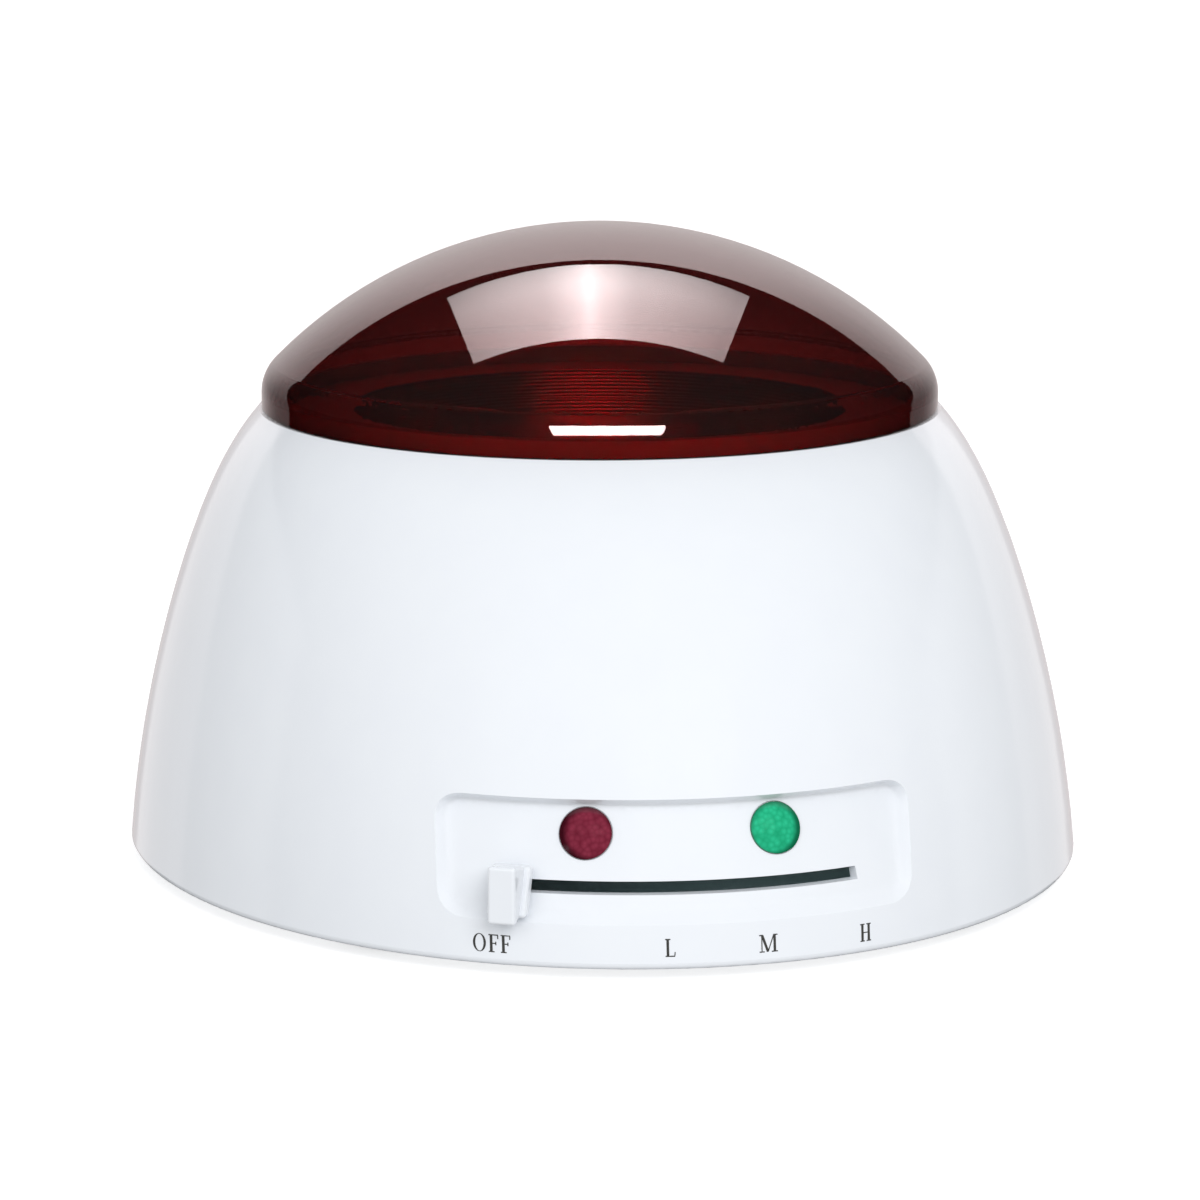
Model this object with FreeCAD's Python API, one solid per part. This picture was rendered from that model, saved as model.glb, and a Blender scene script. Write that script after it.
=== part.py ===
import FreeCAD, Part
import math
import os

# Wax warmer: egg-shaped housing, heated pot, lift-off lid and a swinging control lever.
# Millimetres. The floor is z = 0, the front faces -Y, and the shapes are drawn about the pot's axis.

# Housing outside
HALF_WIDTH = 102.5
FRONT_REACH = 128.4
RIM_RADIUS = 73.8
RIM_HEIGHT = 97.0
FOOT_LIFT = 2.5
LEAN_SHARE = 0.24
BULGE_SHARE = 0.62
SHOULDER_POWER = 10
EDGE_ROUND = 1.2
EGG_POINTS = 36
EGG_LEVELS = 9
SMOOTH_DEGREE = 3

# Housing walls, pot shelf and lid seat
WALL = 2.6
ROOF = 5.0
SHELF_DROP = 2.0
COLLAR_WALL = 2.8
COLLAR_RISE = 3.5

# Lid
LID_INSET = 0.6
LID_WALL = 2.4
LID_CLEARANCE = 0.5
LID_BAND = 7.05
DOME_RADIUS = 99.0
LID_CORNER = 9.0

# Heated pot and its seal
POT_BORE = 53.0
POT_WALL = 1.2
POT_CORNER = 6.0
POT_AIR = 2.0
FLANGE_GAP = 1.0
GASKET_THICKNESS = 1.0

# Heater band, its clamp and its terminals
BAND_GAP = 0.1
BAND_THICKNESS = 2.5
BAND_BELOW_ROOF = 7.8
BAND_ABOVE_FLOOR = 8.0
BAND_SPLIT = 6.0
CLAMP_THICKNESS = 0.8
CLAMP_HEIGHT = 10.0
CLAMP_ABOVE_BAND = 1.0
CLAMP_EAR = 10.0
CLAMP_EAR_HOLE = 6.0
TERMINAL_RADIUS = 2.0
TERMINAL_LENGTH = 8.0
TERMINAL_BEARINGS = (-70, -110)
TERMINAL_BELOW_BAND_TOP = 5.0

# Bar that pulls the pot down, and the posts it bears on
BAR_TOP = 25.5
BAR_THICKNESS = 1.5
BAR_WIDTH = 14.0
BAR_OVERHANG = 6.0
TONGUE_OVERHANG = 9.0
POST_RADIUS = 4.5
POST_GAP = 3.0
STUD_RADIUS = 2.5
STUD_FLANGE = 6.0
STUD_SPARE = 2.0
STUD_NUT_FLATS = 8.0
STUD_NUT_HEIGHT = 4.0

# Screws
SCREW_RADIUS = 1.5
SCREW_HEAD = 2.9
SCREW_HEAD_HEIGHT = 2.0
SCREW_HEAD_ROUND = 0.8
SCREW_SLOT = 0.8
SCREW_GRIP = 10.0
SCREW_NUT_FLATS = 5.5
SCREW_NUT_HEIGHT = 2.4
FIT = 0.05
CUT_SPARE = 1.0

# Base plate, its screws and feet
PLATE_THICKNESS = 3.0
PLATE_GAP = 0.4
CUP_RADIUS = 6.0
CUP_RISE = 3.0
BOSS_RADIUS = 4.5
BOSS_INSET = 14.0
BOSS_BEARINGS = (-120, -70, 70, 120)
FOOT_RADIUS = 8.0
FOOT_SOCKET = 0.8
FOOT_INSET = 18.0
FOOT_PEG = 2.4
FOOT_BARB = 3.4
FOOT_BARB_TIP = 1.4
FOOT_BARB_HEIGHT = 1.6
FOOT_ROUND = 0.8
FOOT_BEARINGS = {"front_left_foot": -40, "front_right_foot": 40,
                 "rear_left_foot": -135, "rear_right_foot": 135}
VENT_COUNT = 8
VENT_WIDTH = 3.2
VENT_START = 16.0
VENT_LENGTH = 20.0
VENT_END_SHARE = 0.45

# Recessed control panel
PANEL_HALF_WIDTH = 48.5
PANEL_LOW = 11.5
PANEL_HIGH = 35.5
PANEL_CORNER = 5.0
PANEL_LOW_DEPTH = 1.4
PANEL_TOP_DEPTH = 2.8
PANEL_SIDE_SLOPE = 3.0
PANEL_TOP_SLOPE = 1.5
PANEL_LOW_SLOPE = 2.5
PANEL_LIP_SHARE = 0.3
PANEL_WALL = 2.4
PANEL_PAD_MARGIN = 4.0
PANEL_EDGE_MARGIN = 2.0
PANEL_COLUMNS = 49
PANEL_ROWS = 33
PANEL_GATHER = 0.7
PANEL_PULL = 20.0

# Control lever, its slot and knob
PIVOT_OFFSET = 42.6
SLOT_HEIGHT = 18.2
SLOT_OPENING = 2.6
SLOT_HALF_ANGLE = 26.9
SLOT_CUT = 15.0
LEVER_THICKNESS = 1.6
LEVER_WIDTH = 10.0
LEVER_HUB = 8.0
TAB_WIDTH = 3.5
TAB_PROUD = 5.0
TAB_END_GAP = 1.4
NECK_BEHIND_PANEL = 6.0
KNOB_WIDTH = 5.8
KNOB_PROUD = 9.2
KNOB_GAP = 1.0
KNOB_PLATE = 3.0
KNOB_PLATE_WIDTH = 8.2
KNOB_PLATE_HEIGHT = 9.8
KNOB_BACK_HEIGHT = 9.4
KNOB_FRONT_HEIGHT = 12.2
KNOB_DROP = 0.5
KNOB_ROUND = 0.7

# Thermostat
THERMOSTAT_RADIUS = 11.0
THERMOSTAT_HEIGHT = 13.5
BUSH_RADIUS = 4.5
BUSH_DEPTH = 8.0
SPINDLE_RADIUS = 3.0
SPINDLE_GAP = 0.3
SPINDLE_STEP = 2.0
LEVER_GAP = 0.6
LEVER_SCREW_RADIUS = 1.2
LEVER_SCREW_HEAD = 3.4
LEVER_SCREW_GRIP = 6.0
BUSH_NUT_HEIGHT = 3.4
BUSH_NUT_FLATS = 14.0
BLADE_LENGTH = 8.0
BLADE_WIDTH = 6.3
BLADE_THICKNESS = 0.8

# Thermal fuse
FUSE_RADIUS = 2.0
FUSE_LENGTH = 12.0
FUSE_X = -24.0
CLIP_THICKNESS = 0.8
CLIP_WIDTH = 8.0
CLIP_FOOT = 9.0

# Indicator lamps
LENS_X = 19.3
LENS_HEIGHT = 28.6
LENS_RADIUS = 5.3
LENS_DOME = 1.5
LENS_FLANGE = 0.8
LENS_SPOTFACE = 0.5
LENS_BARREL = 4.3
LENS_LENGTH = 9.0
LENS_HOLE_GAP = 0.2
LENS_BORE = 3.1
LENS_SKIN = 1.2
BULB_RADIUS = 2.6
BULB_LENGTH = 9.0
BULB_NOSE = 2.0
LENS_CLIP_RADIUS = 7.0
LENS_CLIP_THICKNESS = 0.8

# Cord inlet
GLAND_HEIGHT = 20.0
GLAND_BORE = 3.6
GLAND_BARREL = 6.0
GLAND_HEAD = 9.0
GLAND_HEAD_LENGTH = 3.0
GLAND_HEAD_ROUND = 1.2
GLAND_NUT_FLATS = 16.0
GLAND_NUT_HEIGHT = 4.0
GLAND_PAD_RADIUS = 11.0
GLAND_PAD_STEP = 0.6
GLAND_THREAD_SPARE = 2.0

# Terminal block and wiring
BLOCK_X = -36.0
BLOCK_WIDTH = 28.0
BLOCK_DEPTH = 16.0
BLOCK_HEIGHT = 14.0
BLOCK_FOOT_GAP = 1.2
POLE_PITCH = 9.0
ENTRY_RADIUS = 1.5
ENTRY_DEPTH = 5.0
POLE_SCREW_GRIP = 1.5
POLE_HOLE_DEPTH = 3.0
BLOCK_SCREW_SHORT = 0.6
WIRE_RADIUS = 1.1
LEAD_RADIUS = 1.5
WIRE_LOW = 8.5
WIRE_MID = 12.5
WIRE_HIGH = 16.5
WIRE_OUT = 8.0
WIRE_IN = 4.0
WIRE_CROSS_GAP = 14.0
LEAD_TURN_FRONT = 68.0
LEAD_LAND_FRONT = 30.0
LEAD_CROSS_GAP = 8.0
BEND_SHARE = 0.45

# Levels and radii that follow from the values above
PLATE_TOP = FOOT_LIFT + PLATE_THICKNESS
CUP_TOP = PLATE_TOP + CUP_RISE
SHELF_TOP = RIM_HEIGHT - SHELF_DROP
ROOF_UNDER = RIM_HEIGHT - ROOF
LID_RADIUS = RIM_RADIUS - LID_INSET
LID_TOP = RIM_HEIGHT + LID_BAND + DOME_RADIUS - math.sqrt(DOME_RADIUS ** 2 - LID_RADIUS ** 2)
COLLAR_OUT = LID_RADIUS - LID_WALL - LID_CLEARANCE
COLLAR_IN = COLLAR_OUT - COLLAR_WALL
POT_RADIUS = POT_BORE + POT_WALL
FLANGE_RADIUS = COLLAR_IN - FLANGE_GAP
FLANGE_UNDER = SHELF_TOP + GASKET_THICKNESS
FLANGE_TOP = FLANGE_UNDER + POT_WALL
POT_UNDER = BAR_TOP + THERMOSTAT_HEIGHT
POT_FLOOR = POT_UNDER + POT_WALL
BAND_IN = POT_RADIUS + BAND_GAP
BAND_OUT = BAND_IN + BAND_THICKNESS
BAND_LOW = POT_FLOOR + BAND_ABOVE_FLOOR
BAND_TOP = ROOF_UNDER - BAND_BELOW_ROOF
CLAMP_IN = BAND_OUT + BAND_GAP
CLAMP_OUT = CLAMP_IN + CLAMP_THICKNESS
CLAMP_LOW = BAND_LOW + CLAMP_ABOVE_BAND
TERMINAL_HEIGHT = BAND_TOP - TERMINAL_BELOW_BAND_TOP
POST_X = CLAMP_OUT + POST_GAP + POST_RADIUS
BAR_UNDER = BAR_TOP - BAR_THICKNESS
LEVER_LOW = SLOT_HEIGHT - LEVER_THICKNESS / 2
LEVER_TOP = SLOT_HEIGHT + LEVER_THICKNESS / 2
BUSH_TOP = BAR_TOP + BUSH_DEPTH
BLOCK_TOP = PLATE_TOP + BLOCK_HEIGHT

# Directions
Vector = FreeCAD.Vector
UP = Vector(0, 0, 1)
RIGHT = Vector(1, 0, 0)
BACKWARD = Vector(0, 1, 0)
ORIGIN = Vector(0, 0, 0)


def drop(z):
    """How far the wall has closed in at a height, 0 at the lower edge and 1 at the rim."""
    u = (z - FOOT_LIFT) / (RIM_HEIGHT - FOOT_LIFT)
    shoulder_share = 1 - LEAN_SHARE - BULGE_SHARE
    return LEAN_SHARE * u + BULGE_SHARE * u ** 2 + shoulder_share * u ** SHOULDER_POWER


def rounded_block(outline, width):
    """A block with rounded edges whose outline lies in the lever's upright plane."""
    points = [Vector(x, -width / 2, z) for x, z in outline + outline[:1]]
    block = Part.Face(Part.makePolygon(points)).extrude(Vector(0, width, 0))
    return block.makeFillet(KNOB_ROUND, block.Edges)


def side_reach(z):
    return HALF_WIDTH - (HALF_WIDTH - RIM_RADIUS) * drop(z)


def front_reach(z):
    return FRONT_REACH - (FRONT_REACH - RIM_RADIUS) * drop(z)


def reaches(z, inset):
    """Side and front reach of the wall at a height, moved in by an inset."""
    return side_reach(z) - inset, front_reach(z) - inset


def egg_point(bearing, z, side, front):
    """A point of an egg: half circle behind, half ellipse in front. Bearing 0 is the front, 90 is +X."""
    angle = math.radians(bearing)
    fore_aft = front if math.cos(angle) > 0 else side
    return Vector(side * math.sin(angle), -fore_aft * math.cos(angle), z)


def egg_wire(z, side, front):
    curve = Part.BSplineCurve()
    points = [egg_point(180 + 360 * i / EGG_POINTS, z, side, front) for i in range(EGG_POINTS)]
    curve.interpolate(Points=points, PeriodicFlag=True)
    return Part.Wire(curve.toShape())


def egg_solid(low, high, inset):
    """Smooth egg body between two heights, with its levels closer together near the top."""
    levels = [low + (high - low) * math.sin(math.pi / 2 * i / EGG_LEVELS) for i in range(EGG_LEVELS + 1)]
    return Part.makeLoft([egg_wire(z, *reaches(z, inset)) for z in levels], True, False, False, SMOOTH_DEGREE)


def egg_facets(steps):
    """Egg body of straight slopes through (height, side reach, front reach) steps."""
    return Part.makeLoft([egg_wire(*step) for step in steps], True, True)


def cylinder(radius, low, high, x=0.0, y=0.0):
    return Part.makeCylinder(radius, high - low, Vector(x, y, low))


def ring(outer, inner, low, high, x=0.0, y=0.0):
    return cylinder(outer, low, high, x, y).cut(cylinder(inner, low, high, x, y))


def box(x0, x1, y0, y1, z0, z1):
    return Part.makeBox(x1 - x0, y1 - y0, z1 - z0, Vector(x0, y0, z0))


def round_edge(shape, height, radius):
    """Rounds the edges that lie flat at one height."""
    level = [e for e in shape.Edges if e.BoundBox.ZLength < FIT and abs(e.CenterOfMass.z - height) < FIT]
    return shape.makeFillet(radius, level)


def hexagon(flats, low, high, bore):
    """Hexagon nut about the z axis."""
    corner = flats / math.sqrt(3)
    points = [Vector(corner * math.cos(math.pi / 3 * i), corner * math.sin(math.pi / 3 * i), low)
              for i in range(7)]
    nut = Part.Face(Part.makePolygon(points)).extrude(UP * (high - low))
    return nut.cut(cylinder(bore, low, high))


def screw(seat, tip):
    """Pan-head screw about the z axis: its head lies below the seat height and its shank reaches the tip."""
    head = cylinder(SCREW_HEAD, seat - SCREW_HEAD_HEIGHT, seat)
    low = seat - SCREW_HEAD_HEIGHT
    head = round_edge(head, low, SCREW_HEAD_ROUND)
    slot = box(-SCREW_HEAD, SCREW_HEAD, -SCREW_SLOT / 2, SCREW_SLOT / 2, low, low + SCREW_SLOT)
    return head.cut(slot).fuse(cylinder(SCREW_RADIUS, seat, tip))


def at(shape, point, direction=UP):
    """A copy with its z axis turned to a direction and its origin moved to a point."""
    copy = shape.copy()
    copy.Placement = FreeCAD.Placement(point, FreeCAD.Rotation(UP, direction)).multiply(copy.Placement)
    return copy


def bearing_vector(bearing, length, z=0.0):
    angle = math.radians(bearing)
    return Vector(length * math.sin(angle), -length * math.cos(angle), z)


def lead(points, radius):
    """Round wire along straight runs joined by tangent arcs."""
    edges = []
    start = points[0]
    for before, corner, after in zip(points, points[1:], points[2:]):
        inward = (corner - before).normalize()
        outward = (after - corner).normalize()
        half_turn = inward.getAngle(outward) / 2
        setback = BEND_SHARE * min((corner - before).Length, (after - corner).Length)
        bend = setback / math.tan(half_turn)
        entry = corner - inward * setback
        leave = corner + outward * setback
        middle = corner + (outward - inward).normalize() * (bend / math.cos(half_turn) - bend)
        edges.append(Part.LineSegment(start, entry).toShape())
        edges.append(Part.Arc(entry, middle, leave).toShape())
        start = leave
    edges.append(Part.LineSegment(start, points[-1]).toShape())
    section = Part.Wire(Part.makeCircle(radius, points[0], points[1] - points[0]))
    return Part.Wire(edges).makePipeShell([section], True, True)


def front_point(x, z, side, front):
    """Point of an egg's front half, seen at x and z."""
    return Vector(x, -front * math.sqrt(1 - (x / side) ** 2), z)


def panel_reaches(z, extra):
    """Side and front reach of the panel floor, a straight slope, moved in by an extra depth."""
    share = (z - PANEL_LOW) / (PANEL_HIGH - PANEL_LOW)
    low = reaches(PANEL_LOW, PANEL_LOW_DEPTH + extra)
    high = reaches(PANEL_HIGH, PANEL_TOP_DEPTH + extra)
    return [a + (b - a) * share for a, b in zip(low, high)]


def sunk_share(x, z):
    """How far the recess has sunk, from 0 at its rounded lip to 1 on its floor, below 0 outside the lip."""
    middle = (PANEL_LOW + PANEL_HIGH) / 2
    past_x = abs(x) - PANEL_HALF_WIDTH + PANEL_CORNER
    past_z = abs(z - middle) - (PANEL_HIGH - PANEL_LOW) / 2 + PANEL_CORNER
    out_x = max(past_x, 0)
    out_z = max(past_z, 0)
    inside = PANEL_CORNER - math.hypot(out_x, out_z) - min(max(past_x, past_z), 0)
    end_slope = PANEL_TOP_SLOPE if z > middle else PANEL_LOW_SLOPE
    turn = math.atan2(out_z, out_x)
    slope = PANEL_SIDE_SLOPE + (end_slope - PANEL_SIDE_SLOPE) * math.sin(turn) ** 2
    step = min(inside / slope, 1)
    if step < 0:
        return 2 * PANEL_LIP_SHARE * step
    return PANEL_LIP_SHARE * step * (2 - step) + (1 - PANEL_LIP_SHARE) * step ** 2 * (3 - 2 * step)


def recess_reaches(x, z):
    """Side and front reach of the recess's own surface, between the wall and the panel floor."""
    share = sunk_share(x, z)
    return [wall + (floor - wall) * share for wall, floor in zip(reaches(z, 0), panel_reaches(z, 0))]


def panel_reach(z):
    """Farthest that the panel lies from the lever's pivot, over the lever's swing."""
    side, front = recess_reaches(0, z)
    found = []
    for angle in (0, math.radians(SLOT_HALF_ANGLE)):
        square = (math.sin(angle) / side) ** 2 + (math.cos(angle) / front) ** 2
        half = PIVOT_OFFSET * math.cos(angle) / front ** 2
        rest = (PIVOT_OFFSET / front) ** 2 - 1
        found.append((math.sqrt(half ** 2 - square * rest) - half) / square)
    return max(found)


def gathered(low, high, count):
    """Values from low to high that lie closer together towards both ends."""
    places = [2 * i / (count - 1) - 1 for i in range(count)]
    eased = [(1 - PANEL_GATHER) * p + PANEL_GATHER * math.sin(math.pi / 2 * p) for p in places]
    return [low + (high - low) * (1 + e) / 2 for e in eased]


def panel_recess():
    """Body in front of the recess: a smooth face drawn on a net of points and pulled forward."""
    reach = PANEL_HALF_WIDTH + PANEL_EDGE_MARGIN
    rows = gathered(PANEL_LOW - PANEL_EDGE_MARGIN, PANEL_HIGH + PANEL_EDGE_MARGIN, PANEL_ROWS)
    net = [[front_point(x, z, *recess_reaches(x, z)) for z in rows]
           for x in gathered(-reach, reach, PANEL_COLUMNS)]
    ends = SMOOTH_DEGREE + 1
    repeats = [[ends] + [1] * (count - ends) + [ends] for count in (PANEL_COLUMNS, PANEL_ROWS)]
    knots = [list(range(len(r))) for r in repeats]
    face = Part.BSplineSurface()
    face.buildFromPolesMultsKnots(net, *repeats, *knots, False, False, SMOOTH_DEGREE, SMOOTH_DEGREE)
    return face.toShape().extrude(Vector(0, -PANEL_PULL, 0))


def panel_backing():
    """Thickening behind the recess, so that its floor keeps an even wall."""
    half_width = PANEL_HALF_WIDTH + PANEL_PAD_MARGIN
    low = PANEL_LOW - PANEL_PAD_MARGIN
    high = PANEL_HIGH + PANEL_PAD_MARGIN
    block = box(-half_width, half_width, -FRONT_REACH, -PIVOT_OFFSET, low, high)
    inner = egg_facets([(z, *panel_reaches(z, PANEL_WALL)) for z in (low, high)])
    return block.common(core).cut(inner)


def lens_place(x):
    """Point on the panel floor and the outward direction of a lamp there."""
    step = 0.1

    def floor_point(across, height):
        return front_point(across, height, *panel_reaches(height, 0))

    point = floor_point(x, LENS_HEIGHT)
    along = floor_point(x + step, LENS_HEIGHT) - floor_point(x - step, LENS_HEIGHT)
    rise = floor_point(x, LENS_HEIGHT + step) - floor_point(x, LENS_HEIGHT - step)
    return point, along.cross(rise).normalize()


# Places shared by several pieces
pivot = Vector(0, -PIVOT_OFFSET, 0)
slot_reach = panel_reach(SLOT_HEIGHT)
half_swing = SLOT_HALF_ANGLE - math.degrees((TAB_WIDTH / 2 + TAB_END_GAP) / slot_reach)
boss_points = [egg_point(b, PLATE_TOP, *reaches(PLATE_TOP, BOSS_INSET)) for b in BOSS_BEARINGS]
foot_points = {name: egg_point(b, PLATE_TOP, *reaches(PLATE_TOP, FOOT_INSET))
               for name, b in FOOT_BEARINGS.items()}
gland_face = side_reach(GLAND_HEIGHT - GLAND_PAD_RADIUS) + GLAND_PAD_STEP
gland_inner = side_reach(GLAND_HEIGHT + GLAND_PAD_RADIUS) - WALL - GLAND_PAD_STEP
back_reach = gland_face + GLAND_HEAD_LENGTH
lens_sides = {"red": -LENS_X, "green": LENS_X}
block_back = foot_points["rear_left_foot"].y - FOOT_BARB - BLOCK_FOOT_GAP
block_front = block_back - BLOCK_DEPTH
wire_cross = block_front - WIRE_CROSS_GAP
lead_cross = block_front - LEAD_CROSS_GAP
nodes = {}

# Housing: egg shell with its roof, bosses, posts, panel and cord pad
outer = egg_solid(FOOT_LIFT, RIM_HEIGHT, 0)
outer = round_edge(outer, FOOT_LIFT, EDGE_ROUND)
cavity = egg_solid(FOOT_LIFT - CUT_SPARE, ROOF_UNDER, WALL)
core = egg_solid(FOOT_LIFT, RIM_HEIGHT, WALL / 2)
shell = outer.cut(cavity)
columns = [cylinder(BOSS_RADIUS, CUP_TOP, RIM_HEIGHT, p.x, p.y) for p in boss_points]
columns += [cylinder(POST_RADIUS, BAR_TOP, RIM_HEIGHT, x, 0) for x in (-POST_X, POST_X)]
columns = [c.common(core) for c in columns]
cord_pad = at(cylinder(GLAND_PAD_RADIUS, 0, gland_face - gland_inner),
              Vector(0, gland_inner, GLAND_HEIGHT), BACKWARD)
collar = cylinder(COLLAR_OUT, ROOF_UNDER, RIM_HEIGHT + COLLAR_RISE)
shell = shell.fuse(columns + [panel_backing(), cord_pad, collar])
slot_low = SLOT_HEIGHT - SLOT_OPENING / 2
slot_high = slot_low + SLOT_OPENING
slot = Part.makeCylinder(slot_reach + SLOT_CUT, SLOT_OPENING, Vector(0, pivot.y, slot_low), UP,
                         2 * SLOT_HALF_ANGLE)
slot = slot.cut(cylinder(slot_reach - SLOT_CUT, slot_low, slot_high, 0, pivot.y))
slot.rotate(pivot, UP, -90 - SLOT_HALF_ANGLE)
cuts = [panel_recess(), slot]
cuts.append(cylinder(COLLAR_IN, SHELF_TOP, LID_TOP))
cuts.append(cylinder(POT_RADIUS + POT_AIR, ROOF_UNDER - CUT_SPARE, LID_TOP))
for x in lens_sides.values():
    point, outward = lens_place(x)
    hole = cylinder(LENS_BARREL + LENS_HOLE_GAP, -LENS_LENGTH, LENS_LENGTH)
    spotface = cylinder(LENS_RADIUS + LENS_HOLE_GAP, -LENS_SPOTFACE, LENS_LENGTH)
    cuts.append(at(hole.fuse(spotface), point, outward))
for p in boss_points:
    cuts.append(cylinder(SCREW_RADIUS + FIT, CUP_TOP, CUP_TOP + SCREW_GRIP, p.x, p.y))
for x in (-POST_X, POST_X):
    cuts.append(cylinder(SCREW_RADIUS + FIT, BAR_TOP, BAR_TOP + SCREW_GRIP, x, 0))
cuts.append(at(cylinder(GLAND_BARREL + FIT, -GLAND_PAD_RADIUS, GLAND_PAD_RADIUS),
               Vector(0, (gland_face + gland_inner) / 2, GLAND_HEIGHT), BACKWARD))
nodes["housing_shell"] = shell.cut(cuts).removeSplitter()

# Base plate with cups for its screws, sockets for the feet and slots for cooling air
plate = egg_facets([(z, *reaches(z, WALL + PLATE_GAP)) for z in (FOOT_LIFT, PLATE_TOP)])
plate = plate.fuse([cylinder(CUP_RADIUS, PLATE_TOP, CUP_TOP, p.x, p.y) for p in boss_points])
plate_cuts = []
for p in boss_points:
    plate_cuts.append(cylinder(SCREW_HEAD + PLATE_GAP, FOOT_LIFT, PLATE_TOP, p.x, p.y))
    plate_cuts.append(cylinder(SCREW_RADIUS + FIT, PLATE_TOP, CUP_TOP, p.x, p.y))
for p in foot_points.values():
    plate_cuts.append(cylinder(FOOT_RADIUS + FIT, FOOT_LIFT, FOOT_LIFT + FOOT_SOCKET, p.x, p.y))
    plate_cuts.append(cylinder(FOOT_PEG + FIT, FOOT_LIFT, PLATE_TOP, p.x, p.y))
vent = box(VENT_START, VENT_START + VENT_LENGTH, -VENT_WIDTH / 2, VENT_WIDTH / 2, FOOT_LIFT, PLATE_TOP)
upright = [e for e in vent.Edges if abs(e.tangentAt(e.FirstParameter).z) > 0.9]
vent = vent.makeFillet(VENT_WIDTH * VENT_END_SHARE, upright)
for i in range(VENT_COUNT):
    slit = vent.copy()
    slit.rotate(ORIGIN, UP, 360 * (i + 0.5) / VENT_COUNT)
    plate_cuts.append(slit)
block_middle = Vector(BLOCK_X, block_front + BLOCK_DEPTH / 2, 0)
plate_cuts.append(cylinder(SCREW_RADIUS + FIT, FOOT_LIFT, PLATE_TOP, block_middle.x, block_middle.y))
nodes["base_plate"] = plate.cut(plate_cuts)
base_screw = screw(PLATE_TOP, CUP_TOP + SCREW_GRIP)
nodes["base_screws"] = Part.makeCompound([at(base_screw, Vector(p.x, p.y, 0)) for p in boss_points])

# Rubber feet pushed into the plate
foot = cylinder(FOOT_RADIUS, 0, FOOT_LIFT + FOOT_SOCKET)
foot = round_edge(foot, 0, FOOT_ROUND)
foot = foot.fuse(cylinder(FOOT_PEG, FOOT_LIFT, PLATE_TOP))
barb = Part.makeCone(FOOT_BARB, FOOT_BARB_TIP, FOOT_BARB_HEIGHT, Vector(0, 0, PLATE_TOP))
foot = foot.fuse(barb)
for name, p in foot_points.items():
    nodes[name] = at(foot, Vector(p.x, p.y, 0))

# Heated pot on its gasket
pot = cylinder(POT_RADIUS, POT_UNDER, FLANGE_TOP)
pot = round_edge(pot, POT_UNDER, POT_CORNER)
pot = pot.fuse(cylinder(FLANGE_RADIUS, FLANGE_UNDER, FLANGE_TOP))
well = cylinder(POT_BORE, POT_FLOOR, FLANGE_TOP)
well = round_edge(well, POT_FLOOR, POT_CORNER - POT_WALL)
nodes["heating_pot"] = pot.cut(well)
nodes["pot_gasket"] = ring(FLANGE_RADIUS, POT_RADIUS + POT_AIR, SHELF_TOP, FLANGE_UNDER)

# Heater band round the pot, with its clamp at the back and its two terminals at the side
split = box(-BAND_SPLIT / 2, BAND_SPLIT / 2, 0, RIM_RADIUS, POT_UNDER, RIM_HEIGHT)
nodes["heater_band"] = ring(BAND_OUT, BAND_IN, BAND_LOW, BAND_TOP).cut(split)
terminals = []
for b in TERMINAL_BEARINGS:
    post = at(cylinder(TERMINAL_RADIUS, 0, BAND_OUT + TERMINAL_LENGTH),
              Vector(0, 0, TERMINAL_HEIGHT), bearing_vector(b, 1))
    terminals.append(post.cut(cylinder(BAND_OUT, BAND_LOW, BAND_TOP)))
nodes["heater_terminals"] = Part.makeCompound(terminals)
clamp = ring(CLAMP_OUT, CLAMP_IN, CLAMP_LOW, CLAMP_LOW + CLAMP_HEIGHT).cut(split)
ear_y = math.sqrt(CLAMP_IN ** 2 - (BAND_SPLIT / 2) ** 2)
ears = [box(BAND_SPLIT / 2, BAND_SPLIT / 2 + CLAMP_THICKNESS, ear_y, ear_y + CLAMP_EAR,
            CLAMP_LOW, CLAMP_LOW + CLAMP_HEIGHT)]
ears.append(ears[0].mirror(ORIGIN, RIGHT))
ear_middle = Vector(0, ear_y + CLAMP_EAR_HOLE, CLAMP_LOW + CLAMP_HEIGHT / 2)
ear_hole = at(cylinder(SCREW_RADIUS + FIT, -BAND_SPLIT, BAND_SPLIT), ear_middle, RIGHT)
nodes["heater_clamp"] = clamp.fuse(ears).cut(ear_hole)
ear_face = BAND_SPLIT / 2 + CLAMP_THICKNESS
nut_face = ear_face + SCREW_NUT_HEIGHT
clamp_nut = hexagon(SCREW_NUT_FLATS, ear_face, nut_face, SCREW_RADIUS + FIT)
nodes["clamp_screw"] = at(screw(-ear_face, nut_face + CUT_SPARE), ear_middle, RIGHT)
nodes["clamp_nut"] = at(clamp_nut, ear_middle, RIGHT)

# Bar that pulls the pot down on its gasket, bearing on the two posts
bar_end = POST_X + BAR_OVERHANG
bar = box(-bar_end, bar_end, -BAR_WIDTH / 2, BAR_WIDTH / 2, BAR_UNDER, BAR_TOP)
tongue_end = -PIVOT_OFFSET - TONGUE_OVERHANG
bar = bar.fuse(box(-BAR_WIDTH / 2, BAR_WIDTH / 2, tongue_end, 0, BAR_UNDER, BAR_TOP)).removeSplitter()
bar_holes = [cylinder(SCREW_RADIUS + FIT, BAR_UNDER, BAR_TOP, x, 0) for x in (-POST_X, POST_X)]
bar_holes.append(cylinder(STUD_RADIUS + PLATE_GAP, BAR_UNDER, BAR_TOP))
bar_holes.append(cylinder(BUSH_RADIUS + FIT, BAR_UNDER, BAR_TOP, pivot.x, pivot.y))
nodes["hold_down_bar"] = bar.cut(bar_holes)
bar_screw = screw(BAR_UNDER, BAR_TOP + SCREW_GRIP)
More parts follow.
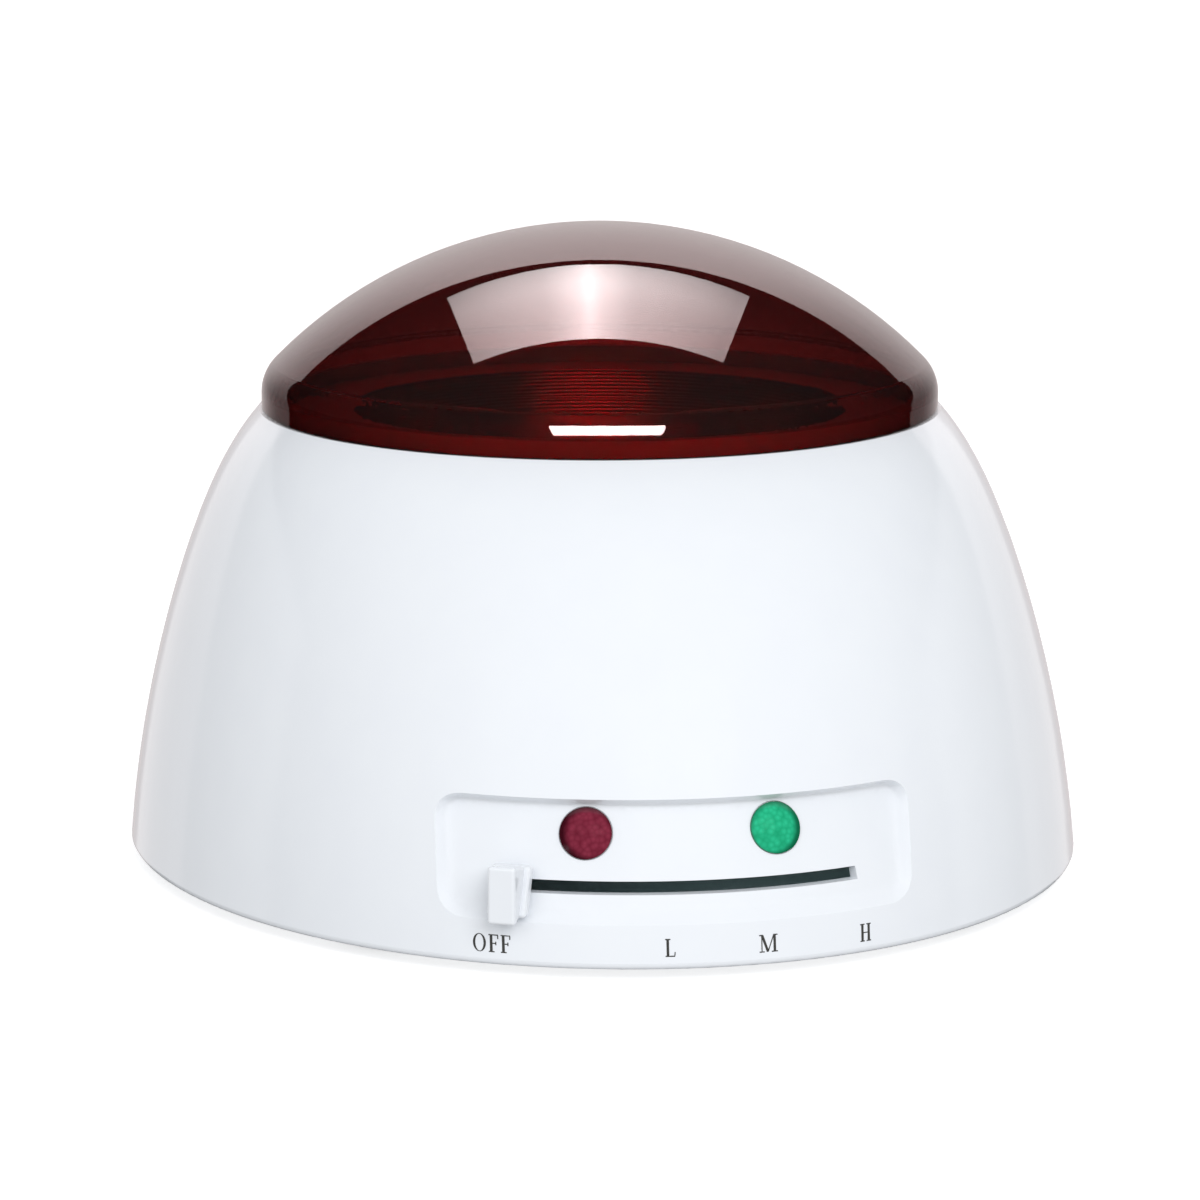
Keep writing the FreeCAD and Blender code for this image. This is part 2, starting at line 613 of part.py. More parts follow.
nodes["bar_screws"] = Part.makeCompound([at(bar_screw, Vector(x, 0, 0)) for x in (-POST_X, POST_X)])
stud = cylinder(STUD_RADIUS, BAR_UNDER - STUD_NUT_HEIGHT - STUD_SPARE, POT_UNDER)
nodes["pot_stud"] = stud.fuse(cylinder(STUD_FLANGE, POT_UNDER - POT_WALL, POT_UNDER))
nodes["hold_down_nut"] = hexagon(STUD_NUT_FLATS, BAR_UNDER - STUD_NUT_HEIGHT, BAR_UNDER, STUD_RADIUS + FIT)

# Thermostat pressed between the tongue of the bar and the underside of the pot
body = cylinder(THERMOSTAT_RADIUS, BAR_TOP, POT_UNDER, pivot.x, pivot.y)
nodes["thermostat_body"] = body.cut(cylinder(BUSH_RADIUS + FIT, BAR_TOP, BUSH_TOP, pivot.x, pivot.y))
nodes["thermostat_bush"] = ring(BUSH_RADIUS, SPINDLE_RADIUS + SPINDLE_GAP, LEVER_TOP + LEVER_GAP, BUSH_TOP,
                                pivot.x, pivot.y)
bush_nut = hexagon(BUSH_NUT_FLATS, BAR_UNDER - BUSH_NUT_HEIGHT, BAR_UNDER, BUSH_RADIUS + FIT)
nodes["bush_nut"] = at(bush_nut, pivot)
blade_height = (BUSH_TOP + POT_UNDER) / 2
blade = box(0, THERMOSTAT_RADIUS + BLADE_LENGTH, -BLADE_WIDTH / 2, BLADE_WIDTH / 2,
            blade_height - BLADE_THICKNESS / 2, blade_height + BLADE_THICKNESS / 2)
blade = blade.cut(cylinder(THERMOSTAT_RADIUS, BAR_TOP, POT_UNDER))
blades = [blade, blade.mirror(ORIGIN, RIGHT)]
nodes["thermostat_blades"] = Part.makeCompound([at(b, pivot) for b in blades])

# Control lever on the thermostat's spindle, drawn along +X from the pivot and then swung to OFF
spindle = cylinder(SPINDLE_RADIUS, LEVER_TOP, BUSH_TOP - LEVER_GAP)
spindle = spindle.fuse(cylinder(SPINDLE_STEP, LEVER_LOW, LEVER_TOP))
spindle = spindle.cut(cylinder(LEVER_SCREW_RADIUS + FIT, LEVER_LOW, LEVER_TOP + LEVER_SCREW_GRIP + CUT_SPARE))
neck = slot_reach - NECK_BEHIND_PANEL
tab_end = slot_reach + TAB_PROUD
arm_points = [(0, LEVER_WIDTH), (neck - LEVER_WIDTH / 2, LEVER_WIDTH)]
arm_points += [(neck, TAB_WIDTH), (tab_end, TAB_WIDTH)]
arm_outline = [(x, w / 2) for x, w in arm_points] + [(x, -w / 2) for x, w in reversed(arm_points)]
arm_outline.append(arm_outline[0])
arm = Part.Face(Part.makePolygon([Vector(x, y, LEVER_LOW) for x, y in arm_outline]))
arm = arm.extrude(UP * LEVER_THICKNESS).fuse(cylinder(LEVER_HUB, LEVER_LOW, LEVER_TOP)).removeSplitter()
arm = arm.cut(cylinder(SPINDLE_STEP + FIT, LEVER_LOW, LEVER_TOP))
lever_screw = cylinder(LEVER_SCREW_HEAD, LEVER_LOW - SCREW_HEAD_HEIGHT, LEVER_LOW)
lever_screw = lever_screw.fuse(cylinder(LEVER_SCREW_RADIUS, LEVER_LOW, LEVER_TOP + LEVER_SCREW_GRIP))
knob_middle = SLOT_HEIGHT - KNOB_DROP
plate_heights = [knob_middle + side * KNOB_PLATE_HEIGHT / 2 for side in (-1, 1)]
plate_back = [(panel_reach(z) + KNOB_GAP, z) for z in plate_heights]
plate_front = [(x + KNOB_PLATE, z) for x, z in reversed(plate_back)]
back_heights = [knob_middle + side * KNOB_BACK_HEIGHT / 2 for side in (-1, 1)]
grip_outline = [(x + KNOB_PLATE / 2, height) for (x, z), height in zip(plate_back, back_heights)]
grip_outline += [(slot_reach + KNOB_PROUD, knob_middle + side * KNOB_FRONT_HEIGHT / 2) for side in (1, -1)]
knob = rounded_block(plate_back + plate_front, KNOB_PLATE_WIDTH)
knob = knob.fuse(rounded_block(grip_outline, KNOB_WIDTH)).removeSplitter()
tab_side = TAB_WIDTH / 2 + FIT
knob = knob.cut(box(neck, tab_end + FIT, -tab_side, tab_side, LEVER_LOW - FIT, LEVER_TOP + FIT))
for name, shape in (("thermostat_spindle", spindle), ("control_lever", arm), ("lever_screw", lever_screw),
                    ("slider_knob", knob)):
    shape.rotate(ORIGIN, UP, -90 - half_swing)
    nodes[name] = at(shape, pivot)

# Thermal fuse held up against the pot by a clip that stands on the bar
fuse_height = POT_UNDER - FUSE_RADIUS
fuse = cylinder(FUSE_RADIUS, -FUSE_LENGTH / 2, FUSE_LENGTH / 2)
nodes["thermal_fuse"] = at(fuse, Vector(FUSE_X, 0, fuse_height), BACKWARD)
tray_top = fuse_height - FUSE_RADIUS
clip_y = CLIP_WIDTH / 2
clip_x = FUSE_X + FUSE_RADIUS + CLIP_THICKNESS
clip = box(FUSE_X - FUSE_RADIUS, clip_x, -clip_y, clip_y, tray_top - CLIP_THICKNESS, tray_top)
clip = clip.fuse(box(clip_x - CLIP_THICKNESS, clip_x, -clip_y, clip_y, BAR_TOP, tray_top))
clip_foot = box(clip_x, clip_x + CLIP_FOOT, -clip_y, clip_y, BAR_TOP, BAR_TOP + CLIP_THICKNESS)
nodes["fuse_clip"] = clip.fuse(clip_foot).removeSplitter()

# Indicator lamps: lens through the panel, spring clip behind it and bulb in its bore
lens = cylinder(LENS_RADIUS, -LENS_SPOTFACE, LENS_FLANGE - LENS_SPOTFACE)
cap_radius = (LENS_RADIUS ** 2 + LENS_DOME ** 2) / (2 * LENS_DOME)
cap_base = LENS_FLANGE - LENS_SPOTFACE
cap = Part.makeSphere(cap_radius, Vector(0, 0, cap_base + LENS_DOME - cap_radius))
cap = cap.common(cylinder(LENS_RADIUS, cap_base, cap_base + LENS_DOME))
lens = lens.fuse([cap, cylinder(LENS_BARREL, -LENS_LENGTH, -LENS_SPOTFACE)]).removeSplitter()
lens = lens.cut(cylinder(LENS_BORE, -LENS_LENGTH, -LENS_SKIN))
bulb = cylinder(BULB_RADIUS, -LENS_SKIN - BULB_LENGTH, -LENS_SKIN)
bulb = round_edge(bulb, -LENS_SKIN, BULB_NOSE)
clip_high = -LENS_SPOTFACE - PANEL_WALL
lens_clip = ring(LENS_CLIP_RADIUS, LENS_BARREL + FIT, clip_high - LENS_CLIP_THICKNESS, clip_high)
lens_clips = []
bulb_ends = {}
for colour, x in lens_sides.items():
    point, outward = lens_place(x)
    nodes["lens_" + colour] = at(lens, point, outward)
    nodes["bulb_" + colour] = at(bulb, point, outward)
    lens_clips.append(at(lens_clip, point, outward))
    bulb_ends[colour] = (point - outward * (LENS_SKIN + BULB_LENGTH), outward)
nodes["lens_clips"] = Part.makeCompound(lens_clips)

# Cord inlet at the back
barrel_length = gland_face - gland_inner + GLAND_NUT_HEIGHT + GLAND_THREAD_SPARE
gland = cylinder(GLAND_HEAD, 0, GLAND_HEAD_LENGTH)
gland = round_edge(gland, GLAND_HEAD_LENGTH, GLAND_HEAD_ROUND)
gland = gland.fuse(cylinder(GLAND_BARREL, -barrel_length, 0))
gland = gland.cut(cylinder(GLAND_BORE, -barrel_length, GLAND_HEAD_LENGTH))
nodes["cord_gland"] = at(gland, Vector(0, gland_face, GLAND_HEIGHT), BACKWARD)
gland_nut = hexagon(GLAND_NUT_FLATS, -GLAND_NUT_HEIGHT, 0, GLAND_BARREL + FIT)
nodes["gland_nut"] = at(gland_nut, Vector(0, gland_inner, GLAND_HEIGHT), BACKWARD)

# Terminal block with three poles: return, switched and supply, from left to right
block = box(BLOCK_X - BLOCK_WIDTH / 2, BLOCK_X + BLOCK_WIDTH / 2, block_front, block_front + BLOCK_DEPTH,
            PLATE_TOP, BLOCK_TOP)
pole_x = {"return": BLOCK_X - POLE_PITCH, "switched": BLOCK_X, "supply": BLOCK_X + POLE_PITCH}
entries = {"return": Vector(pole_x["return"], block_front, WIRE_MID),
           "switched": Vector(pole_x["switched"], block_front, WIRE_LOW),
           "feed": Vector(pole_x["switched"], block_front, WIRE_HIGH),
           "supply": Vector(pole_x["supply"], block_front, WIRE_MID)}
block_cuts = [at(cylinder(ENTRY_RADIUS, 0, ENTRY_DEPTH), p, BACKWARD) for p in entries.values()]
block_cuts.append(cylinder(SCREW_RADIUS + FIT, PLATE_TOP, BLOCK_TOP, block_middle.x, block_middle.y))
block_screw = screw(-BLOCK_TOP, -FOOT_LIFT - BLOCK_SCREW_SHORT).mirror(ORIGIN, UP)
pole_screw = screw(-BLOCK_TOP, POLE_SCREW_GRIP - BLOCK_TOP).mirror(ORIGIN, UP)
pole_points = [Vector(x, block_middle.y, 0) for x in (pole_x["return"], pole_x["supply"])]
for p in pole_points:
    block_cuts.append(cylinder(SCREW_RADIUS + FIT, BLOCK_TOP - POLE_HOLE_DEPTH, BLOCK_TOP, p.x, p.y))
nodes["terminal_block"] = block.cut(block_cuts)
nodes["block_screw"] = at(block_screw, block_middle)
nodes["terminal_screws"] = Part.makeCompound([at(pole_screw, p) for p in pole_points])

# Wires between the block, the thermostat, the fuse and the heater
inside_entry = Vector(0, WIRE_IN, 0)
blade_tip = THERMOSTAT_RADIUS + BLADE_LENGTH
left_blade = Vector(-blade_tip, pivot.y, blade_height)
right_blade = Vector(blade_tip, pivot.y, blade_height)
fuse_front = Vector(FUSE_X, -FUSE_LENGTH / 2, fuse_height)
fuse_rear = Vector(FUSE_X, FUSE_LENGTH / 2, fuse_height)
tip_reach = BAND_OUT + TERMINAL_LENGTH
tips = [bearing_vector(b, tip_reach, TERMINAL_HEIGHT) for b in TERMINAL_BEARINGS]
turns = [bearing_vector(b, tip_reach + WIRE_OUT, TERMINAL_HEIGHT) for b in TERMINAL_BEARINGS]
supply = entries["supply"]
nodes["supply_wire"] = lead([
    supply + inside_entry, Vector(supply.x, pivot.y, supply.z),
    Vector(supply.x, pivot.y, blade_height), left_blade], WIRE_RADIUS)
switched = entries["switched"]
nodes["switched_wire"] = lead([
    right_blade, Vector(-supply.x, pivot.y, blade_height), Vector(-supply.x, pivot.y, switched.z),
    Vector(-supply.x, wire_cross, switched.z), Vector(switched.x, wire_cross, switched.z),
    switched + inside_entry], WIRE_RADIUS)
feed = entries["feed"]
nodes["fuse_wire"] = lead([
    feed + inside_entry, Vector(feed.x, wire_cross, feed.z),
    Vector(FUSE_X, fuse_rear.y + FUSE_LENGTH, fuse_height), fuse_rear], WIRE_RADIUS)
under_pot = POT_UNDER - 2 * FUSE_RADIUS
nodes["heater_wire"] = lead([
    fuse_front, Vector(FUSE_X, turns[0].y, fuse_height), Vector(turns[0].x, turns[0].y, under_pot),
    turns[0], tips[0]], WIRE_RADIUS)
back = entries["return"]
nodes["return_wire"] = lead([
    tips[1], turns[1], Vector(turns[1].x, turns[1].y, back.z),
    Vector(back.x, (turns[1].y + back.y) / 2, back.z), back + inside_entry], WIRE_RADIUS)
side_x = BLOCK_X - BLOCK_WIDTH / 2 + LEAD_RADIUS
for colour, side in (("red", 1), ("green", -1)):
    end, outward = bulb_ends[colour]
    route = [end, end - outward * WIRE_OUT, Vector(side * side_x, -LEAD_TURN_FRONT, LENS_HEIGHT),
             Vector(side * side_x, -LEAD_LAND_FRONT, WIRE_LOW)]
    if colour == "red":
        route.append(Vector(side_x, block_front, WIRE_LOW))
    else:
        landing = (pole_x["switched"] + pole_x["supply"]) / 2
        route.append(Vector(-side_x, lead_cross, WIRE_LOW))
        route.append(Vector(landing, lead_cross, WIRE_LOW))
        route.append(Vector(landing, block_front, WIRE_LOW))
    nodes["lamp_lead_" + colour] = lead(route, LEAD_RADIUS)

# Lid: a band and a shallow dome of even wall
dome_middle = Vector(0, 0, LID_TOP - DOME_RADIUS)


def bell(radius, dome, corner):
    """Upright cylinder closed by a sphere, with the meeting edge rounded."""
    solid = cylinder(radius, RIM_HEIGHT, LID_TOP).common(Part.makeSphere(dome, dome_middle))
    edge = [e for e in solid.Edges if e.isClosed() and e.CenterOfMass.z > RIM_HEIGHT + FIT]
    return solid.makeFillet(corner, edge)


nodes["lid"] = bell(LID_RADIUS, DOME_RADIUS, LID_CORNER).cut(
    bell(LID_RADIUS - LID_WALL, DOME_RADIUS - LID_WALL, LID_CORNER - LID_WALL))

# Every piece is moved so that the middle of the whole object's plan is the origin
os.makedirs("parts", exist_ok=True)
shift = Vector(0, (FRONT_REACH - back_reach) / 2, 0)
for name, shape in nodes.items():
    shape.translate(shift)
    shape.exportStep("parts/" + name + ".step")
    print(name, "solids", len(shape.Solids), "volume %.0f" % shape.Volume, "valid", shape.isValid())
print("pot axis y %.2f, lever swing %.2f degrees, slot reach %.2f" % (shift.y, 2 * half_swing, slot_reach))
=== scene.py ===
# %% [markdown]
# # A wax warmer in a small studio
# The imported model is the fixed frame: every piece stays where it is, in metres, with +Z up and the control
# panel towards -Y. This lesson gives each surface its finish, adds the printed marks, and sets up the light
# and the camera.

# %% Load the frame
import math
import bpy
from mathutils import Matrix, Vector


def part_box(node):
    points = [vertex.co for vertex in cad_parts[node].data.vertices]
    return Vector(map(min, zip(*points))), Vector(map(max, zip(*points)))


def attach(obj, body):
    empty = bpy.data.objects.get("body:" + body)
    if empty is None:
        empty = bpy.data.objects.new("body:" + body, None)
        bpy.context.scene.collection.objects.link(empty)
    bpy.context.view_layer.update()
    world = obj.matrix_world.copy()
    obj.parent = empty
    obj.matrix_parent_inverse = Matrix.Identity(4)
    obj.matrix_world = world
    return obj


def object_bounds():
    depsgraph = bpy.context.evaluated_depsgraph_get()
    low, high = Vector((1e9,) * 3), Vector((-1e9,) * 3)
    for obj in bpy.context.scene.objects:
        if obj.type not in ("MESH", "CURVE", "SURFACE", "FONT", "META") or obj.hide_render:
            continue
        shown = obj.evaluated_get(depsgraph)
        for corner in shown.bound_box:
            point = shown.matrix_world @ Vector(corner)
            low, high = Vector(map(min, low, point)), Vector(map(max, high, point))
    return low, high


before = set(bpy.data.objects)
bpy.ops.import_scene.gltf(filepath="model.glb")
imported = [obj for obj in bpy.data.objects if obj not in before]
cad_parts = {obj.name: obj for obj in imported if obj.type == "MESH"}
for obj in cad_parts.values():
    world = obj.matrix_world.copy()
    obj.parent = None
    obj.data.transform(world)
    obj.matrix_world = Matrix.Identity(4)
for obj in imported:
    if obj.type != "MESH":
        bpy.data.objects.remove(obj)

from types import SimpleNamespace

import bpy
import numpy as np
from mathutils import Vector

cad_low, cad_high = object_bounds()
print("frame of", len(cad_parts), "nodes, from", tuple(cad_low), "to", tuple(cad_high))

# %% [markdown]
# ## The wall that carries the print
# The housing is an egg seen from above: half a circle behind the pot's axis and half an ellipse in front of
# it. A Shrinkwrap modifier could press a print on it, but the print would then follow every facet of the
# mesh. Here rays shot at the housing tell how far it reaches at two heights under the panel. Between them
# the wall is nearly straight, so a formula can follow it.

# %% The front wall, measured on the housing
MM = 0.001
WALL_HEIGHTS = (4.5 * MM, 9.5 * MM)
RAY_LENGTH = 1.0

lid_low, lid_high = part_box("lid")
pot_y = (lid_low.y + lid_high.y) / 2
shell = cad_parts["housing_shell"]
depsgraph = bpy.context.evaluated_depsgraph_get()


def reach(z, direction):
    """Distance from the pot's axis to the housing's outside: a ray's length less its way to the wall."""
    start = Vector((0, pot_y, z)) + RAY_LENGTH * direction
    place = shell.ray_cast(start, -direction, depsgraph=depsgraph)[1]
    return RAY_LENGTH - (place - start).length


side_reaches = [reach(z, Vector((1, 0, 0))) for z in WALL_HEIGHTS]
front_reaches = [reach(z, Vector((0, -1, 0))) for z in WALL_HEIGHTS]
print("side reaches", side_reaches, "front reaches", front_reaches)


def front_wall(x, z, lift):
    """Points on the front wall's ellipse at (x, z), moved out by a lift along the ellipse's normal."""
    side = np.interp(z, WALL_HEIGHTS, side_reaches)
    front = np.interp(z, WALL_HEIGHTS, front_reaches)
    depth = front * np.sqrt(1 - (x / side) ** 2)
    normal = np.stack([x / side ** 2, depth / front ** 2], -1)
    normal /= np.linalg.norm(normal, axis=-1, keepdims=True)
    return np.stack([x + lift * normal[..., 0], pot_y - depth - lift * normal[..., 1], z], -1)


# %% [markdown]
# ## Helpers for finishes
# Colours are written as the hex values that one reads off a screen. Blender works with linear light, so one
# function undoes the screen's curve. Another adds a shader node, with its settings and its links.

# %% Colour and node helpers
def linear(hex_colour):
    """Linear RGBA of an sRGB hex colour: c/12.92 below 0.04045, and ((c+0.055)/1.055)^2.4 above."""
    srgb = np.array([int(hex_colour[i:i + 2], 16) for i in (1, 3, 5)]) / 255
    rgb = np.where(srgb <= 0.04045, srgb / 12.92, ((srgb + 0.055) / 1.055) ** 2.4)
    return (*rgb.tolist(), 1.0)


def add(tree, kind, inputs, **settings):
    """Adds a shader node: settings are its properties, an input takes a number, a colour or a socket."""
    node = tree.nodes.new("ShaderNode" + kind)
    for name, value in settings.items():
        setattr(node, name, value)
    for name, value in inputs.items():
        if isinstance(value, bpy.types.NodeSocket):
            tree.links.new(value, node.inputs[name])
        else:
            node.inputs[name].default_value = value
    return node


print("the grey #808080 is", round(linear("#808080")[0], 3), "in linear light")

# %% [markdown]
# Most plastics and metals here need the same three things: a colour that is not quite even, a gloss that
# varies, and a slight relief. Painted textures could hold them, but they need a picture file and a UV map.
# One cloudy noise on the object's own coordinates, in real millimetres, drives all three.

# %% A finish and its mottle
CLOUD_DETAIL = 3.0


def material(name, inputs):
    """A material with one Principled shader, and its parts, ready for more nodes."""
    made = bpy.data.materials.new(name)
    made.use_nodes = True
    tree = made.node_tree
    tree.nodes.clear()
    shader = add(tree, "BsdfPrincipled", inputs)
    output = add(tree, "OutputMaterial", {"Surface": shader.outputs["BSDF"]})
    place = add(tree, "TexCoord", {}).outputs["Object"]
    return SimpleNamespace(made=made, tree=tree, shader=shader, output=output, place=place)


def mottle(finish, size, colours, roughness, bump):
    """Cloudy noise of a real size that varies the colour, the roughness and the height of a surface."""
    tree, sockets = finish.tree, finish.shader.inputs
    cloud = add(tree, "TexNoise", {"Vector": finish.place, "Scale": 1 / size, "Detail": CLOUD_DETAIL})
    noise = cloud.outputs["Fac"]
    ramp = add(tree, "ValToRGB", {"Fac": noise})
    for stop, colour in zip(ramp.color_ramp.elements, colours):
        stop.color = linear(colour)
    tree.links.new(ramp.outputs["Color"], sockets["Base Color"])
    rough = add(tree, "MapRange", {"Value": noise, "To Min": roughness[0], "To Max": roughness[1]})
    tree.links.new(rough.outputs["Result"], sockets["Roughness"])
    relief = add(tree, "Bump", {"Height": noise, "Distance": bump, "Strength": 1.0})
    tree.links.new(relief.outputs["Normal"], sockets["Normal"])


def dress(finish, *names):
    """Gives a finish to nodes of the frame."""
    for name in names:
        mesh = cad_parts[name].data
        mesh.materials.clear()
        mesh.materials.append(finish.made)
    print(finish.made.name, "on", ", ".join(names))


# %% [markdown]
# ## White housing
# The housing and the knob are injection-moulded ABS from a polished mould. The eye sees a clean, slightly
# bluish white with sharp reflections. One flat colour would do from afar, but close up the plastic has the
# faintest orange peel where it shrank, so a broad mottle of a few microns is added.

# %% Glossy white ABS
ABS_IOR = 1.53
gloss = material("glossy_white_abs", {"IOR": ABS_IOR})
mottle(gloss, size=9 * MM, colours=("#edf1f7", "#f0f4f9"), roughness=(0.1, 0.14), bump=0.004 * MM)
dress(gloss, "housing_shell", "slider_knob")

# %% [markdown]
# The base plate is the same plastic from a spark-eroded mould, so it is satin and finely grained. The same
# mottle gives that with a grain of half a millimetre, a duller gloss and more height.

# %% Satin white ABS
satin = material("satin_white_abs", {"IOR": ABS_IOR})
mottle(satin, size=0.5 * MM, colours=("#dfe2e6", "#eceef0"), roughness=(0.42, 0.55), bump=0.03 * MM)
dress(satin, "base_plate")

# %% [markdown]
# ## Ruby lid
# The lid is a see-through dome of tinted styrene. Tint belongs in the volume: light that crosses more
# plastic comes out darker. A painted surface colour would be simpler, but it would look the same at every
# thickness. The inner face of the wall mirrors the room a second time, in red, so the reflections get a
# slight pink. A trace of dust and fine scratches keeps the surface from being perfectly clear.

# %% Ruby styrene
STYRENE_IOR = 1.57
LID_WALL = 2.4 * MM
# Share of the red light that comes through one wall
WALL_RED = 0.26
TINT = linear("#e22731")
CLEAR_SHARE = 0.9985
HAZE_SIZE = 22 * MM
HAZE_DETAIL = 4.0
HAZE_ROUGHNESS = 0.03
# A wall leaves exp(-density * thickness * (1 - tint)) of each colour
lid_density = -math.log(WALL_RED) / LID_WALL / (1 - TINT[0])
ruby = material("ruby_styrene", {
    "Base Color": linear("#ffffff"), "IOR": STYRENE_IOR, "Transmission Weight": CLEAR_SHARE,
    "Specular Tint": linear("#ffe2e2")})
haze = add(ruby.tree, "TexNoise", {"Vector": ruby.place, "Scale": 1 / HAZE_SIZE, "Detail": HAZE_DETAIL})
rough = add(ruby.tree, "MapRange", {
    "Value": haze.outputs["Fac"], "To Min": 0.0, "To Max": HAZE_ROUGHNESS})
ruby.tree.links.new(rough.outputs["Result"], ruby.shader.inputs["Roughness"])
stain = add(ruby.tree, "VolumeAbsorption", {"Color": TINT, "Density": lid_density})
ruby.tree.links.new(stain.outputs["Volume"], ruby.output.inputs["Volume"])
dress(ruby, "lid")
print("one wall of the lid lets %.2f of the red through, density %.0f" % (WALL_RED, lid_density))

# %% [markdown]
# ## Indicator lenses
# Each lens is a small moulded button of tinted polycarbonate over a neon lamp. Its inside is pebbled to
# spread the light, so the face looks mottled. Modelled pebbles would hardly be seen, so a pattern of cells
# draws them in colour and relief. The darker rim is painted shade: the distance from the middle of the face
# darkens the colour towards the edge, in place of the shade that falls on the edge of the low dome.

# %% Red and green lenses
POLYCARBONATE_IOR = 1.58
LENS_ROUGHNESS = 0.2
PEBBLE = 1.1 * MM
PEBBLE_DEPTH = 0.05 * MM
PEBBLE_STRENGTH = 0.6
# Height of the middle of a lens's face, and the radii between which the painted rim shade darkens it
LENS_HEIGHT = 28.6 * MM
RIM_SHADE_START = 3.9 * MM
LENS_RADIUS = 5.3 * MM
# Node, then the colours of the pebbles' edges, of their middles and of the painted shade at the rim
LENSES = (("lens_red", "#6a182d", "#8c3046", "#3d0816"), ("lens_green", "#14a271", "#2cc794", "#0a6e4a"))
for name, dark, light, painted_rim_shade in LENSES:
    lens = material(name + "_polycarbonate", {"IOR": POLYCARBONATE_IOR, "Roughness": LENS_ROUGHNESS})
    tree = lens.tree
    lens_low, lens_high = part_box(name)
    centre = ((lens_low.x + lens_high.x) / 2, 0.0, LENS_HEIGHT)
    pebbles = add(tree, "TexVoronoi", {"Vector": lens.place, "Scale": 1 / PEBBLE}).outputs["Distance"]
    ramp = add(tree, "ValToRGB", {"Fac": pebbles})
    ramp.color_ramp.elements[0].color = linear(light)
    ramp.color_ramp.elements[1].color = linear(dark)
    flat = add(tree, "Mapping", {
        "Vector": lens.place, "Location": [-c for c in centre], "Scale": (1, 0, 1)}).outputs["Vector"]
    radius = add(tree, "VectorMath", {"Vector": flat}, operation="LENGTH").outputs["Value"]
    # Painted shade: between the two radii the colour darkens out to the lens's edge
    edge = add(tree, "MapRange", {"Value": radius, "From Min": RIM_SHADE_START, "From Max": LENS_RADIUS},
               interpolation_type="SMOOTHSTEP").outputs["Result"]
    shade = add(tree, "MixRGB", {"Fac": edge, "Color1": ramp.outputs["Color"], "Color2": linear(painted_rim_shade)})
    tree.links.new(shade.outputs["Color"], lens.shader.inputs["Base Color"])
    dimple = add(tree, "Bump", {"Height": pebbles, "Distance": PEBBLE_DEPTH, "Strength": PEBBLE_STRENGTH})
    tree.links.new(dimple.outputs["Normal"], lens.shader.inputs["Normal"])
    dress(lens, name)

# %% [markdown]
# ## Metal, rubber and the pieces inside
# The pot is spun from sheet over a former, so fine rings run round its axis. On the floor they are circles,
# and on the upright wall they are level lines: the sum of radius and height gives both. The rings stretch a
# reflection up and down the wall, which is the red glow in the middle of the closed lid. An anisotropic
# gloss could stretch it as well, but a relief also shows as rings from close by. The real rings are finer
# than these, which are drawn just coarse enough to show.

# %% Spun aluminium
RING_PITCH = 0.8 * MM
RING_DEPTH = 0.07 * MM
SPUN_ROUGHNESS = 0.42
# Bands that the wave texture draws to the metre at a scale of 1
WAVE_BANDS = 10 / math.pi
spun = material("spun_aluminium", {
    "Metallic": 1.0, "Base Color": linear("#d5d7da"), "Roughness": SPUN_ROUGHNESS})
tree = spun.tree
flat = add(tree, "Mapping", {
    "Vector": spun.place, "Location": (0.0, -pot_y, 0.0), "Scale": (1, 1, 0)}).outputs["Vector"]
radius = add(tree, "VectorMath", {"Vector": flat}, operation="LENGTH").outputs["Value"]
height = add(tree, "SeparateXYZ", {"Vector": spun.place}).outputs["Z"]
run = add(tree, "Math", {0: radius, 1: height}, operation="ADD").outputs["Value"]
along = add(tree, "CombineXYZ", {"X": run}).outputs["Vector"]
rings = add(tree, "TexWave", {"Vector": along, "Scale": 1 / (RING_PITCH * WAVE_BANDS)}, wave_type="BANDS",
            bands_direction="X").outputs["Fac"]
groove = add(tree, "Bump", {"Height": rings, "Distance": RING_DEPTH, "Strength": 1.0})
tree.links.new(groove.outputs["Normal"], spun.shader.inputs["Normal"])
dress(spun, "heating_pot")

# %% [markdown]
# The other pieces hardly show, but each still gets the finish that it has on the bench. They differ only in
# colour, grain, gloss and metal, so a table and one loop make them all.

# %% Plain finishes
STEEL_PIECES = (
    "base_screws", "heater_band", "heater_clamp", "clamp_screw", "clamp_nut", "hold_down_bar", "bar_screws",
    "pot_stud", "hold_down_nut", "bush_nut", "thermostat_spindle", "control_lever", "lever_screw",
    "fuse_clip", "lens_clips", "block_screw")
BRASS_PIECES = (
    "heater_terminals", "thermostat_bush", "thermostat_blades", "terminal_screws", "thermal_fuse")
FEET = ("front_left_foot", "front_right_foot", "rear_left_foot", "rear_right_foot")
BROWN_WIRES = ("supply_wire", "switched_wire", "fuse_wire", "heater_wire")
LAMP_LEADS = ("lamp_lead_red", "lamp_lead_green")
